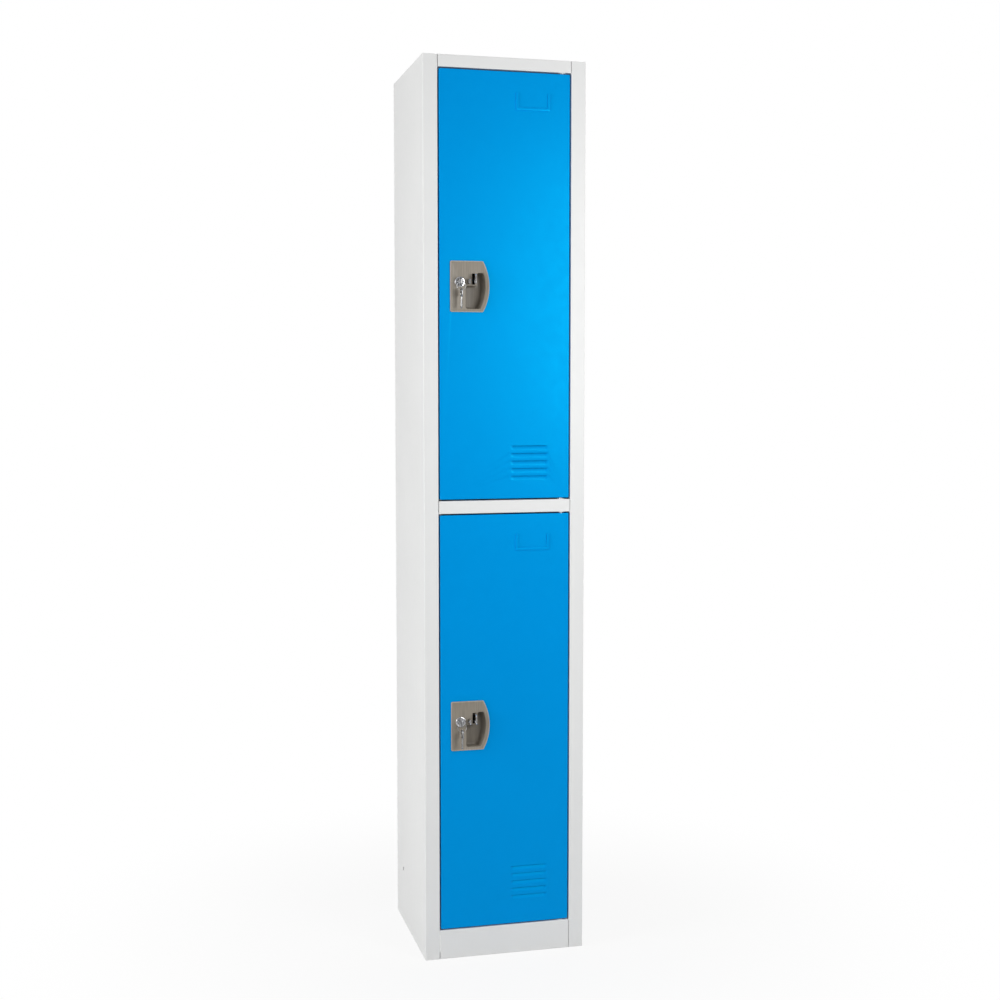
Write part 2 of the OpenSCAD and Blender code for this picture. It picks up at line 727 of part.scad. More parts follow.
// The turning plug: a keyway down its middle and a square end for the cam
module lock_plug(d) {
    square = 6;
    front = barrel_front - 0.2;
    back = cam_y[0] - 0.1;
    slot = [key_t / 2 + fit_gap, key_blade[1] / 2 + fit_gap];
    color(chrome_grey) placed() at_lock(d) difference() {
        union() {
            bar_y([0, front, 0], plug_r, back - front);
            block([-square / 2, back - 1, -square / 2], [square / 2, cam_y[1], square / 2]);
        }
        block([-slot.x, front - 1, -slot.y], [slot.x, keyway_end, slot.y]);
        bar_y([0, cam_y[1] - 3.8, 0], 1.5, 5);
    }
}

// Hangs down when unlocked; a quarter turn takes it behind the left door stop
module lock_cam(d) {
    hub_r = 8;
    tip = 6;
    arm = [[-hub_r + 1, 0], [-tip, -cam_reach], [tip, -cam_reach], [hub_r - 1, 0]];
    color(zinc_grey) placed() at_lock(d) difference() {
        union() {
            bar_y([0, cam_y[0], 0], hub_r, cam_y[1] - cam_y[0]);
            along_y(cam_y[0], cam_y[1]) polygon(rounded(arm, [0, 4, 4, 0]));
        }
        block([-3.05, cam_y[0] - 1, -3.05], [3.05, cam_y[1] + 1, 3.05]);
    }
}

module cam_screw(d) {
    color(zinc_grey) placed() at_lock(d) translate([0, cam_y[1], 0]) rotate([-90, 0, 0]) {
        cylinder(h = 0.8, r = 5);
        translate([0, 0, 0.8]) pan_screw(4, r = 1.5, head_r = 3, head_h = 1.8);
    }
}

// A flat key: its hole is at the origin and its blade points along +X
module key_blank() {
    bow_end = key_bow[0] - key_hole_in;
    w = key_blade[1] / 2;
    tip = bow_end + key_blade[0];
    teeth = [
        for (i = [0:3]) let (x = bow_end + 5 + i * 4, cut = 1.2 + 0.3 * (i % 2))
            each [[x, -w], [x + 1, -w + cut], [x + 2, -w]]
    ];
    point = [[tip - 3, -w], [tip, -0.5], [tip, 0.5], [tip - 2, w]];
    linear_extrude(key_t, center = true) difference() {
        union() {
            polygon(round_box([-key_hole_in, -key_bow[1] / 2], [bow_end, key_bow[1] / 2], 6));
            polygon(concat([[bow_end - 1, w], [bow_end - 1, -w]], teeth, point));
        }
        circle(r = key_hole_r);
    }
}

module key(d) {
    color(chrome_grey) placed() at_lock(d) translate([0, ring_y, 0]) rotate([90, 0, 90]) key_blank();
}

module key_ring(d) {
    color(chrome_grey) placed() at_lock(d) translate([0, ring_y, -ring_r]) rotate([90, 0, 0])
        rotate_extrude() translate([ring_r, 0]) circle(r = ring_wire_r);
}

module spare_key(d) {
    color(chrome_grey) placed() at_lock(d) translate([0, ring_y, -2 * ring_r]) rotate([0, 90, 0]) key_blank();
}

// ---- Assembly ------------------------------------------------------------------------------

left_side_panel();
right_side_panel();
back_panel();
top_panel();
middle_shelf();
bottom_shelf();
kick_plate();
shelf_rails();
frame_screws();
frame_nuts();
back_panel_screws();
hinge_bushes();
door_bumpers();
coat_hook_rivets();
padlock_hook_rivets();
for (d = tiers) {
    coat_hook(d);
    padlock_arm(d);
    padlock_hook(d);
    door_panel(d);
    door_stiffener(d);
    hinge_brackets(d);
    hinge_pins(d);
    handle_cup(d);
    handle_screws(d);
    padlock_eye(d);
    lock_barrel(d);
    lock_nut(d);
    lock_plug(d);
    lock_cam(d);
    cam_screw(d);
    key(d);
    key_ring(d);
    spare_key(d);
}
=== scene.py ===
import math

import bmesh
import bpy
from mathutils import Matrix, Vector
from mathutils.geometry import delaunay_2d_cdt


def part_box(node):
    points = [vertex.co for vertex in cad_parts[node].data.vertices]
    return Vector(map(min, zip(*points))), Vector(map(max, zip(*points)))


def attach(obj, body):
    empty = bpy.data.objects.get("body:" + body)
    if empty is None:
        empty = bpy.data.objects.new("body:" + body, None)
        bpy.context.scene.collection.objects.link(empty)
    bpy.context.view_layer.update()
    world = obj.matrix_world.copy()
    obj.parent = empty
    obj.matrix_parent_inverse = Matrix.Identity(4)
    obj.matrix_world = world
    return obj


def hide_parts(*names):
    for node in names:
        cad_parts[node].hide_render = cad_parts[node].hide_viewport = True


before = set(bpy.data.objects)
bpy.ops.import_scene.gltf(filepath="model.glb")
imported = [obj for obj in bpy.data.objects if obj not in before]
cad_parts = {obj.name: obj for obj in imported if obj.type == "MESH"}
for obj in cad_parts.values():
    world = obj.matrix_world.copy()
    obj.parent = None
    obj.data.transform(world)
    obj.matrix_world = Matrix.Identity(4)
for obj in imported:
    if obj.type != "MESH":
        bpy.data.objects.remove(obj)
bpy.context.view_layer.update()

# ---- Places, in millimetres from the cabinet's front left corner on the floor: X to the right,
# ---- Y back from the front face, Z up

MM = 0.001
CORNER, BACK_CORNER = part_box("left_side_panel")
TO_FRAME = Matrix.Translation((CORNER.x, CORNER.y, 0)) @ Matrix.Scale(MM, 4)
TIERS = ("lower", "upper")


def cabinet_box(node):
    """A CAD node's box in the cabinet's own millimetres."""
    low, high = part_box(node)
    inverse = TO_FRAME.inverted()
    return inverse @ low, inverse @ high


# Door sheet
SHEET = 0.8
FOLD = 1.3
DOOR_DEPTH = 18
DOOR_LIP = 10
DOOR_CORNER = 2.0

# Handle plate, recess, slots and lock, from the middle of the plate's left edge
HANDLE_H = 101.5
HANDLE_W = 80.5
HANDLE_END_W = 67.5
BULGE = HANDLE_W - HANDLE_END_W
BULGE_R = ((HANDLE_H / 2) ** 2 + BULGE**2) / (2 * BULGE)
PLATE_CORNER_R = 3
PLATE_BOW_STEPS = 16
PLATE_PROUD = 2.0
DOOR_HOLE_IN = 3
RIM_PROUD = 2.8
RIM_W = 2.4
RECESS_X = 32
RECESS_STEP_X = 55
RECESS_BOTTOM = -44
RECESS_STEP_Z = 1.5
RECESS_TOP = 27
RECESS_SIDE = 8
RECESS_DEPTH = 17
RECESS_WALL = 2
RECESS_LEAN = 5.5
RECESS_CORNER_R = 4
RECESS_STEP_R = 3
RECESS_BOW_STEPS = 12
HOOK_SLOT = ((44.8, 4), (52.3, 26))
EYE_SLOT = ((35.9, 4), (38.7, 15))
BARREL_R = 8
BARREL_FACE_R = 10.5
BARREL_FRONT = -4.5
BARREL_BACK = 24.8
PLUG_BORE_R = 5.5
THREAD_PITCH = 1.0
THREAD_DEPTH = 0.45
THREAD_MARGIN = 1.4

# Keys and ring
KEY_T = 2.0
KEY_BOW_L = 16
KEY_BOW_W = 18
KEY_BLADE_L = 23.5
KEY_BLADE_W = 7
KEY_HOLE_IN = 4.5
KEY_HOLE_R = 2.3
KEY_CHAMFER = 0.22
KEY_SUNK = 0.3
RING_R = 9
RING_WIRE_R = 0.37

# Card holder from the door's top, louvres from its bottom, both from the cabinet's left side
CARD_W = 72
CARD_H = 33.5
CARD_TOP = 41.5
CARD_X = 189.5
CARD_BAR = 6.0
CARD_PROUD = 1.4
CARD_GAP = 0.6
LOUVRE_X = 179.5
LOUVRE_W = 79
LOUVRE_H = 9
LOUVRE_IN = 2.8
LOUVRE_END = 7.0
LOUVRE_END_STEPS = 7
LOUVRE_ROWS = 9
LOUVRE_PITCH = 15.4
LOUVRE_COUNT = 5
LOUVRE_LOW = {"lower": 59, "upper": 46}

# A turn in radians that counts as none, two tolerances in millimetres, and the triangulation's
# option that leaves out what lies outside its edges
STRAIGHT = 0.01
WELD = 0.0005
TOUCHING = 0.00001
INSIDE_EDGES = 1


# ---- Outlines ------------------------------------------------------------------------------


def corner(a, b, c, r, steps=6):
    """The corner at b on the way from a to c, as an arc of radius r."""
    a, b, c = Vector(a), Vector(b), Vector(c)
    u, v = (b - a).normalized(), (c - b).normalized()
    turn = math.atan2(u.x * v.y - u.y * v.x, u.dot(v))
    if r <= 0 or abs(turn) < STRAIGHT:
        return [b]
    start = b - u * r * math.tan(abs(turn) / 2)
    out = Vector((u.y, -u.x)) * math.copysign(r, turn)
    centre = start - out
    arc = []
    for k in range(steps + 1):
        cos, sin = math.cos(turn * k / steps), math.sin(turn * k / steps)
        arc.append(centre + Vector((out.x * cos - out.y * sin, out.x * sin + out.y * cos)))
    return arc


def rounded(points, radii, steps=6):
    """A closed outline with each corner rounded to its own radius."""
    n = len(points)
    return [
        p
        for i in range(n)
        for p in corner(points[i - 1], points[i], points[(i + 1) % n], radii[i], steps)
    ]


def round_box(low, high, r, steps=6):
    return rounded([low, (high[0], low[1]), high, (low[0], high[1])], [r] * 4, steps)


def circle(centre, r, count):
    angles = [2 * math.pi * k / count for k in range(count)]
    return [Vector((centre[0] + r * math.cos(a), centre[1] + r * math.sin(a))) for a in angles]


def bow(centre_x, r, z0, z1, steps):
    """Points of an upright arc that bows to the right."""
    heights = [z0 + (z1 - z0) * i / steps for i in range(steps + 1)]
    return [(centre_x + math.sqrt(r * r - z * z), z) for z in heights]


def plate_outline(g):
    """The handle plate's outline, grown by g."""
    top = HANDLE_H / 2 + g
    side = bow(HANDLE_W - BULGE_R, BULGE_R + g, -top, top, PLATE_BOW_STEPS)
    r = PLATE_CORNER_R + g / 2
    return rounded([(-g, -top), *side, (-g, top)], [r, r, *[0] * (PLATE_BOW_STEPS - 1), r, r])


def recess_outline(g, lean=0.0):
    """The finger recess's outline, grown by g, with its bowed side leaning in by lean."""
    r = BULGE_R - RECESS_SIDE + g - lean
    side = bow(HANDLE_W - BULGE_R, r, RECESS_BOTTOM - g, RECESS_TOP + g, RECESS_BOW_STEPS)
    points = [
        (RECESS_X - g, RECESS_BOTTOM - g),
        *side,
        (RECESS_STEP_X - g, RECESS_TOP + g),
        (RECESS_STEP_X - g, RECESS_STEP_Z + g),
        (RECESS_X - g, RECESS_STEP_Z + g),
    ]
    outer, inner = RECESS_CORNER_R + g / 2, RECESS_STEP_R - g / 2
    narrow = min(outer, (side[-1][0] - RECESS_STEP_X + g) / 2)
    along_side = [0] * (RECESS_BOW_STEPS - 1)
    return rounded(points, [outer, outer, *along_side, narrow, narrow, inner, outer])


# ---- Mesh making ---------------------------------------------------------------------------


def ring(bm, outline, spot):
    """Vertices of an outline; spot turns each of its 2-D points into a 3-D one."""
    return [bm.verts.new(spot(p)) for p in outline]


def band(bm, a, b, closed=True):
    """Faces between two rings with the same number of points."""
    n = len(a)
    for i in range(n if closed else n - 1):
        j = (i + 1) % n
        bm.faces.new((a[i], a[j], b[j], b[i]))


def loft(bm, rings, closed=True):
    for a, b in zip(rings, rings[1:]):
        band(bm, a, b, closed)


def within(point, outline):
    """Whether a point lies inside a closed outline."""
    found = False
    for a, b in zip(outline, [*outline[1:], outline[0]]):
        if (a.y > point.y) != (b.y > point.y):
            if point.x < a.x + (point.y - a.y) * (b.x - a.x) / (b.y - a.y):
                found = not found
    return found


def cap(bm, *loops):
    """A flat face inside the first loop and outside the others, as triangles."""
    verts = [v for loop in loops for v in loop]
    spans = [max(v.co[i] for v in verts) - min(v.co[i] for v in verts) for i in range(3)]
    across, up = [i for i in range(3) if i != spans.index(min(spans))]
    outlines = [[Vector((v.co[across], v.co[up])) for v in loop] for loop in loops]
    edges = []
    for outline in outlines:
        first, n = len(edges), len(outline)
        edges += [(first + i, first + (i + 1) % n) for i in range(n)]
    spots = [spot for outline in outlines for spot in outline]
    points, _, triangles, origins, _, _ = delaunay_2d_cdt(spots, edges, [], INSIDE_EDGES, TOUCHING)
    for triangle in triangles:
        centre = sum((points[i] for i in triangle), Vector((0, 0))) / 3
        if within(centre, outlines[0]) and not any(within(centre, hole) for hole in outlines[1:]):
            bm.faces.new([verts[origins[i][0]] for i in triangle])


def flat(y):
    """Puts an outline of X and Z at depth y."""
    return lambda p: (p[0], y, p[1])


def piece(name, bm, body, slot, stands_for=(), sharp=32.0, shift=(0, 0, 0)):
    """An object from a mesh made in cabinet millimetres."""
    bmesh.ops.remove_doubles(bm, verts=bm.verts, dist=WELD)
    bmesh.ops.recalc_face_normals(bm, faces=bm.faces)
    bm.transform(TO_FRAME @ Matrix.Translation(shift))
    mesh = bpy.data.meshes.new(name)
    bm.to_mesh(mesh)
    bm.free()
    mesh.polygons.foreach_set("use_smooth", [True] * len(mesh.polygons))
    mesh.set_sharp_from_angle(angle=math.radians(sharp))
    mesh.materials.append(MATERIALS[slot])
    made = bpy.data.objects.new(name, mesh)
    bpy.context.scene.collection.objects.link(made)
    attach(made, body)
    if stands_for:
        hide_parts(*stands_for)
    return made


# ---- Materials -----------------------------------------------------------------------------


def linear(r, g, b):
    """A mid-tone display colour of 0 to 255 as linear light, by the sRGB curve."""
    return tuple(((c / 255 + 0.055) / 1.055) ** 2.4 for c in (r, g, b)) + (1.0,)


def node(tree, kind, **values):
    made = tree.nodes.new(kind)
    for key, value in values.items():
        if key in made.inputs:
            made.inputs[key].default_value = value
        else:
            setattr(made, key, value)
    return made


def noise(tree, coords, scale, detail=2.0, rough=0.5):
    made = node(tree, "ShaderNodeTexNoise", Scale=scale, Detail=detail, Roughness=rough)
    tree.links.new(coords, made.inputs["Vector"])
    return made.outputs["Fac"]


def stretched(tree, coords, scale):
    """Coordinates scaled differently along each axis, for brushed and streaked finishes."""
    made = node(tree, "ShaderNodeMapping", Scale=scale)
    tree.links.new(coords, made.inputs["Vector"])
    return made.outputs["Vector"]


def ramp(tree, factor, stops):
    made = tree.nodes.new("ShaderNodeValToRGB")
    elements = made.color_ramp.elements
    while len(elements) < len(stops):
        elements.new(0.5)
    for element, (place, colour) in zip(elements, stops):
        element.position = place
        element.color = colour
    tree.links.new(factor, made.inputs["Fac"])
    return made.outputs["Color"]


def spread(tree, value, from_low, from_high, to_low=0.0, to_high=1.0, **options):
    """The value's range from_low to from_high, spread over to_low to to_high."""
    made = node(tree, "ShaderNodeMapRange", **options)
    made.inputs["From Min"].default_value = from_low
    made.inputs["From Max"].default_value = from_high
    made.inputs["To Min"].default_value = to_low
    made.inputs["To Max"].default_value = to_high
    tree.links.new(value, made.inputs["Value"])
    return made.outputs["Result"]


def between(tree, factor, low, high):
    """A noise's middle range spread from low to high."""
    return spread(tree, factor, 0.3, 0.7, low, high)


def along(tree, coords, axis):
    """How far some coordinates reach along one axis."""
    parts = node(tree, "ShaderNodeSeparateXYZ")
    tree.links.new(coords, parts.inputs["Vector"])
    return parts.outputs[axis]


def tinted(tree, factor, colour, variation, low=0.35, high=0.65):
    """A colour that drifts darker and lighter by its variation."""
    return ramp(tree, factor, [(low, scaled(colour, 1 - variation)), (high, scaled(colour, 1 + variation))])


def bumps(tree, height, distance, strength=1.0, under=None):
    made = node(tree, "ShaderNodeBump", Strength=strength, Distance=distance)
    tree.links.new(height, made.inputs["Height"])
    if under is not None:
        tree.links.new(under, made.inputs["Normal"])
    return made.outputs["Normal"]


def material(name):
    """A material with an empty tree of its own, its shader and its object coordinates."""
    made = bpy.data.materials.new(name)
    made.use_nodes = True
    tree = made.node_tree
    tree.nodes.clear()
    shader = tree.nodes.new("ShaderNodeBsdfPrincipled")
    output = tree.nodes.new("ShaderNodeOutputMaterial")
    tree.links.new(shader.outputs["BSDF"], output.inputs["Surface"])
    coords = tree.nodes.new("ShaderNodeTexCoord").outputs["Object"]
    return made, tree, shader, coords


def grey(level):
    return (level, level, level, 1.0)


def scaled(colour, k):
    return tuple(min(1.0, c * k) for c in colour[:3]) + (1.0,)


def powder_coat(name, colour, variation, rough, specular, tint_of_gloss=(1, 1, 1, 1)):
    """Baked powder coat: a faint orange peel, and colour and gloss that drift a little."""
    made, tree, shader, coords = material(name)
    tint = tinted(tree, noise(tree, coords, 5.0, 3.0), colour, variation, 0.3, 0.7)
    tree.links.new(tint, shader.inputs["Base Color"])
    sheen = between(tree, noise(tree, coords, 60.0), rough - 0.04, rough + 0.04)
    tree.links.new(sheen, shader.inputs["Roughness"])
    peel = bumps(tree, noise(tree, coords, 420.0, 2.0, 0.55), 0.00005, 0.5)
    fine = bumps(tree, noise(tree, coords, 1900.0), 0.00001, 0.4, peel)
    tree.links.new(fine, shader.inputs["Normal"])
    shader.inputs["Specular IOR Level"].default_value = specular
    shader.inputs["Specular Tint"].default_value = tint_of_gloss
    return made


def moulding(name, colour):
    """Metallic-look moulded plastic: fine grain, faint upright drag marks, a painted highlight on the rim
    and painted shade down in the finger recess.
    """
    made, tree, shader, coords = material(name)
    streaks = noise(tree, stretched(tree, coords, UPRIGHT_GRAIN), 420.0, 3.0)
    flecks = noise(tree, coords, 2600.0, 1.0)
    both = node(tree, "ShaderNodeMix", data_type="FLOAT", Factor=0.35)
    tree.links.new(streaks, both.inputs["A"])
    tree.links.new(flecks, both.inputs["B"])
    tint = tinted(tree, both.outputs["Result"], colour, 0.14)
    # Painted light: the base colour is lightest on the proud rim (painted highlight), dimmer on the face
    # and darkest deep in the finger recess (painted shade), set by depth
    rim, floor = CORNER.y - RIM_PROUD * MM, CORNER.y + RECESS_DEPTH * MM
    depth = spread(tree, along(tree, coords, "Y"), rim, floor)
    painted_rim_highlight_and_recess_shade = ramp(tree, depth, [(0.0, grey(1.0)), (0.04, grey(0.63)), (0.3, grey(0.5)), (1.0, grey(0.4))])
    shaded = node(tree, "ShaderNodeVectorMath", operation="MULTIPLY")
    tree.links.new(tint, shaded.inputs[0])
    tree.links.new(painted_rim_highlight_and_recess_shade, shaded.inputs[1])
    tree.links.new(shaded.outputs["Vector"], shader.inputs["Base Color"])
    tree.links.new(between(tree, flecks, 0.38, 0.5), shader.inputs["Roughness"])
    tree.links.new(bumps(tree, flecks, 0.00003, 0.5), shader.inputs["Normal"])
    shader.inputs["Specular IOR Level"].default_value = 0.3
    return made


def metal(name, colour, rough, grain=(1.0, 1.0, 1.0), scale=300.0, variation=0.06, depth=0.000006):
    """Plated or bare metal whose gloss, colour and surface vary along its grain."""
    made, tree, shader, coords = material(name)
    marks = noise(tree, stretched(tree, coords, grain), scale, 3.0)
    tree.links.new(tinted(tree, marks, colour, variation), shader.inputs["Base Color"])
    tree.links.new(between(tree, marks, rough * 0.75, rough * 1.3), shader.inputs["Roughness"])
    tree.links.new(bumps(tree, marks, depth, 0.6), shader.inputs["Normal"])
    shader.inputs["Metallic"].default_value = 1.0
    return made


def zinc(name):
    """Bright zinc plate with its crystal spangle."""
    made, tree, shader, coords = material(name)
    spangle = node(tree, "ShaderNodeTexVoronoi", Scale=260.0)
    tree.links.new(coords, spangle.inputs["Vector"])
    shade = node(tree, "ShaderNodeSeparateColor")
    tree.links.new(spangle.outputs["Color"], shade.inputs["Color"])
    tint = ramp(tree, shade.outputs["Red"], [(0.0, (0.42, 0.43, 0.45, 1)), (1.0, (0.58, 0.59, 0.6, 1))])
    tree.links.new(tint, shader.inputs["Base Color"])
    tree.links.new(between(tree, shade.outputs["Green"], 0.3, 0.44), shader.inputs["Roughness"])
    shader.inputs["Metallic"].default_value = 1.0
    return made


def plain_polymer(name, colour, rough, scale, depth):
    made, tree, shader, coords = material(name)
    grain = noise(tree, coords, scale, 3.0)
    tree.links.new(tinted(tree, grain, colour, 0.1), shader.inputs["Base Color"])
    tree.links.new(between(tree, grain, rough - 0.06, rough + 0.06), shader.inputs["Roughness"])
    tree.links.new(bumps(tree, grain, depth, 0.6), shader.inputs["Normal"])
    return made


LIGHT_GREY = (0.79, 0.795, 0.79, 1)
BLUE = (0.0, 0.275, 0.72, 1)
BLUE_GLOSS = (0.0, 0.72, 1, 1)
TAUPE = linear(174, 165, 151)
CHROME = (0.68, 0.68, 0.7, 1)
WHITE_NYLON = (0.8, 0.8, 0.76, 1)
UPRIGHT_GRAIN = (1.0, 1.0, 0.05)
FORE_AND_AFT_GRAIN = (1.0, 0.08, 1.0)

MATERIALS = {
    "cabinet_enamel": powder_coat(
        "light_grey_powder_coat", LIGHT_GREY, variation=0.012, rough=0.36, specular=0.3
    ),
    "door_enamel": powder_coat(
        "blue_powder_coat", BLUE, variation=0.015, rough=0.34, specular=0.7, tint_of_gloss=BLUE_GLOSS
    ),
    "handle_moulding": moulding("taupe_moulding", TAUPE),
    "chrome": metal("bright_chrome", CHROME, rough=0.12),
    "key_steel": metal(
        "nickelled_steel", grey(0.42), 0.3, FORE_AND_AFT_GRAIN, scale=900.0, variation=0.12, depth=0.00001
    ),
    "zinc": zinc("zinc_plate"),
    "nylon": plain_polymer("white_nylon", WHITE_NYLON, rough=0.5, scale=500.0, depth=0.00002),
    "rubber": plain_polymer("black_rubber", grey(0.02), rough=0.75, scale=900.0, depth=0.00004),
}

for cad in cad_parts.values():
    cad_slot = cad.material_slots[0]
    cad_slot.material = MATERIALS[cad_slot.material.name.split(".")[0]]


# ---- Doors ---------------------------------------------------------------------------------


def fold_arc(g0, y0, g1, y1, centre, steps=5):
    """Inset and depth along a quarter fold from one point to the other round a centre."""
    a0 = math.atan2(y0 - centre[1], g0 - centre[0])
    a1 = math.atan2(y1 - centre[1], g1 - centre[0])
    turn = (a1 - a0 + math.pi) % (2 * math.pi) - math.pi
    r = math.hypot(g0 - centre[0], y0 - centre[1])
    angles = [a0 + turn * k / steps for k in range(steps + 1)]
    return [(centre[0] + r * math.cos(a), centre[1] + r * math.sin(a)) for a in angles]


def eased(t):
    """A smooth start and stop for t from 0 to 1."""
    return t * t * (3 - 2 * t)


def louvre(bm, x0, z_slit):
    """One louvre, pressed in ever more steeply up to its slit. Returns the loop round it."""
    z0 = z_slit - LOUVRE_H
    left = [LOUVRE_END * k / LOUVRE_END_STEPS for k in range(LOUVRE_END_STEPS + 1)]
    right = [LOUVRE_W - u for u in reversed(left)]
    across = [*left, LOUVRE_W / 3, LOUVRE_W / 2, 2 * LOUVRE_W / 3, *right]
    grid = []
    for j in range(LOUVRE_ROWS + 1):
        v = j / LOUVRE_ROWS
        slope = 0.5 * v + 0.5 * v * v * (1.6 - 0.6 * v)
        row = []
        for u in across:
            side = eased(min(1.0, min(u, LOUVRE_W - u) / LOUVRE_END))
            row.append(bm.verts.new((x0 + u, LOUVRE_IN * slope * side, z0 + LOUVRE_H * v)))
        grid.append(row)
    for a, b in zip(grid, grid[1:]):
        band(bm, a, b, closed=False)
    return [*grid[0], *[row[-1] for row in grid[1:]], *[row[0] for row in reversed(grid[1:])]]


def door_panel(tier):
    """The pressed and folded door skin, as its outer surface, thickened inwards."""
    low, high = cabinet_box(tier + "_door_panel")
    handle_low, handle_high = cabinet_box(tier + "_handle_cup")
    handle = Vector((handle_low.x, (handle_low.z + handle_high.z) / 2))
    bm = bmesh.new()
    profile = [(DOOR_LIP, DOOR_DEPTH)]
    profile += fold_arc(FOLD, DOOR_DEPTH, 0, DOOR_DEPTH - FOLD, (FOLD, DOOR_DEPTH - FOLD))
    profile += fold_arc(0, FOLD, FOLD, 0, (FOLD, FOLD))

    def outline(g):
        r = max(DOOR_CORNER - g, 0.3)
        return round_box((low.x + g, low.z + g), (high.x - g, high.z - g), r, 4)

    rings = [ring(bm, outline(g), flat(y)) for g, y in profile]
    loft(bm, rings)
    hole = ring(bm, [p + handle for p in plate_outline(-DOOR_HOLE_IN)], flat(0))
    slits = [low.z + LOUVRE_LOW[tier] + i * LOUVRE_PITCH for i in range(LOUVRE_COUNT)]
    louvres = [louvre(bm, LOUVRE_X, z) for z in slits]
    cap(bm, rings[-1], hole, *louvres)
    made = piece(tier + "_door_skin", bm, tier + "_door", "door_enamel", [tier + "_door_panel"], 40)
    thicken = made.modifiers.new("sheet", "SOLIDIFY")
    thicken.thickness = SHEET * MM
    thicken.offset = -1
    thicken.use_even_offset = True
    level = made.modifiers.new("level", "WEIGHTED_NORMAL")
    level.mode = "FACE_AREA"
    level.weight = 100
    level.keep_sharp = True


def card_holder(tier):
    """The name card's holder: a raised U whose inner edge stands off the door."""
    low, high = cabinet_box(tier + "_door_panel")
    top = high.z - CARD_TOP
    bottom = top - CARD_H
    bar, proud, gap = CARD_BAR, CARD_PROUD, CARD_GAP
    profile = [
        (0, 0.05), (0, -0.75), (0.1, -1.05), (0.3, -1.28), (0.6, -proud), (bar - 0.6, -proud),
        (bar - 0.25, -1.3), (bar, -1.05), (bar, -gap - 0.05), (bar - 0.1, -gap), (2, -gap), (2, 0.05),
    ]
    bm = bmesh.new()

    def path(w):
        """The U's outline, w inside its outer edge."""
        a = Vector((CARD_X + w, top))
        b = Vector((CARD_X + w, bottom + w))
        c = Vector((CARD_X + CARD_W - w, bottom + w))
        d = Vector((CARD_X + CARD_W - w, top))
        r = max(3 - w, 0.08)
        return [a, *corner(a, b, c, r), *corner(b, c, d, r), d]

    rings = [ring(bm, path(w), flat(y)) for w, y in profile]
    loft(bm, [*rings, rings[0]], closed=False)
    for end in (0, -1):
        bm.faces.new([r[end] for r in rings])
    piece(tier + "_card_holder", bm, tier + "_door", "door_enamel")


# ---- Handle --------------------------------------------------------------------------------


def handle_plate(tier):
    """The moulded plate with its raised rim, finger recess and the slots for the padlock ears."""
    low, high = cabinet_box(tier + "_handle_cup")
    centre = (low.x, 0, (low.z + high.z) / 2)
    lock_low, lock_high = cabinet_box(tier + "_lock_barrel")
    lock = ((lock_low.x + lock_high.x) / 2 - centre[0], (lock_low.z + lock_high.z) / 2 - centre[2])
    face = -PLATE_PROUD
    bm = bmesh.new()
    rim = [
        (0, 0), (0, -1.9), (-0.12, -2.35), (-0.4, -2.65), (-0.85, -RIM_PROUD), (-1.35, -RIM_PROUD),
        (-1.75, -2.6), (-2.0, -2.3), (-2.15, -2.1), (-RIM_W, face),
    ]
    rim_rings = [ring(bm, plate_outline(g), flat(y)) for g, y in rim]
    loft(bm, rim_rings)
    floor = RECESS_DEPTH
    inside = [
        (1.3, face, 0), (0.75, face + 0.15, 0), (0.3, face + 0.5, 0), (0.1, face + 1.0, 0.1),
        (-0.3, floor * 0.5, 2.6), (-0.7, floor - 2.2, 4.6), (-1.0, floor - 1.2, 5.0),
        (-1.6, floor - 0.45, RECESS_LEAN), (-2.4, floor, RECESS_LEAN + 0.6),
    ]
    inside_rings = [ring(bm, recess_outline(g, lean), flat(y)) for g, y, lean in inside]
    loft(bm, inside_rings)
    cap(bm, inside_rings[-1])
    wall = RECESS_WALL
    outside = [(wall, 0), (wall, floor + 1), (wall - 0.4, floor + 1.7), (wall - 1, floor + wall)]
    outside_rings = [ring(bm, recess_outline(g), flat(y)) for g, y in outside]
    loft(bm, outside_rings)
    cap(bm, outside_rings[-1])
    openings = []
    for shape in (circle(lock, BARREL_R, 48), round_box(*HOOK_SLOT, 1.2, 4), round_box(*EYE_SLOT, 0.6, 3)):
        front, back = ring(bm, shape, flat(face)), ring(bm, shape, flat(0))
        band(bm, front, back)
        openings.append((front, back))
    cap(bm, rim_rings[-1], inside_rings[0], *[front for front, back in openings])
    rib_profile = [(-3.2, 0), (-3.2, SHEET), (-4.5, SHEET), (-4.5, 0)]
    rib = [ring(bm, plate_outline(g), flat(y)) for g, y in rib_profile]
    loft(bm, rib)
    cap(bm, rim_rings[0], rib[0])
    cap(bm, rib[-1], outside_rings[0], *[back for front, back in openings])
    piece(tier + "_handle_plate", bm, tier + "_door", "handle_moulding", [tier + "_handle_cup"], 38, centre)


# ---- Locks and keys ------------------------------------------------------------------------


def lathe(bm, profile, segments=64):
    """A closed profile of radius and depth turned about the Y axis."""
    rings = [ring(bm, circle((0, 0), r, segments), flat(y)) for r, y in profile]
    loft(bm, [*rings, rings[0]])


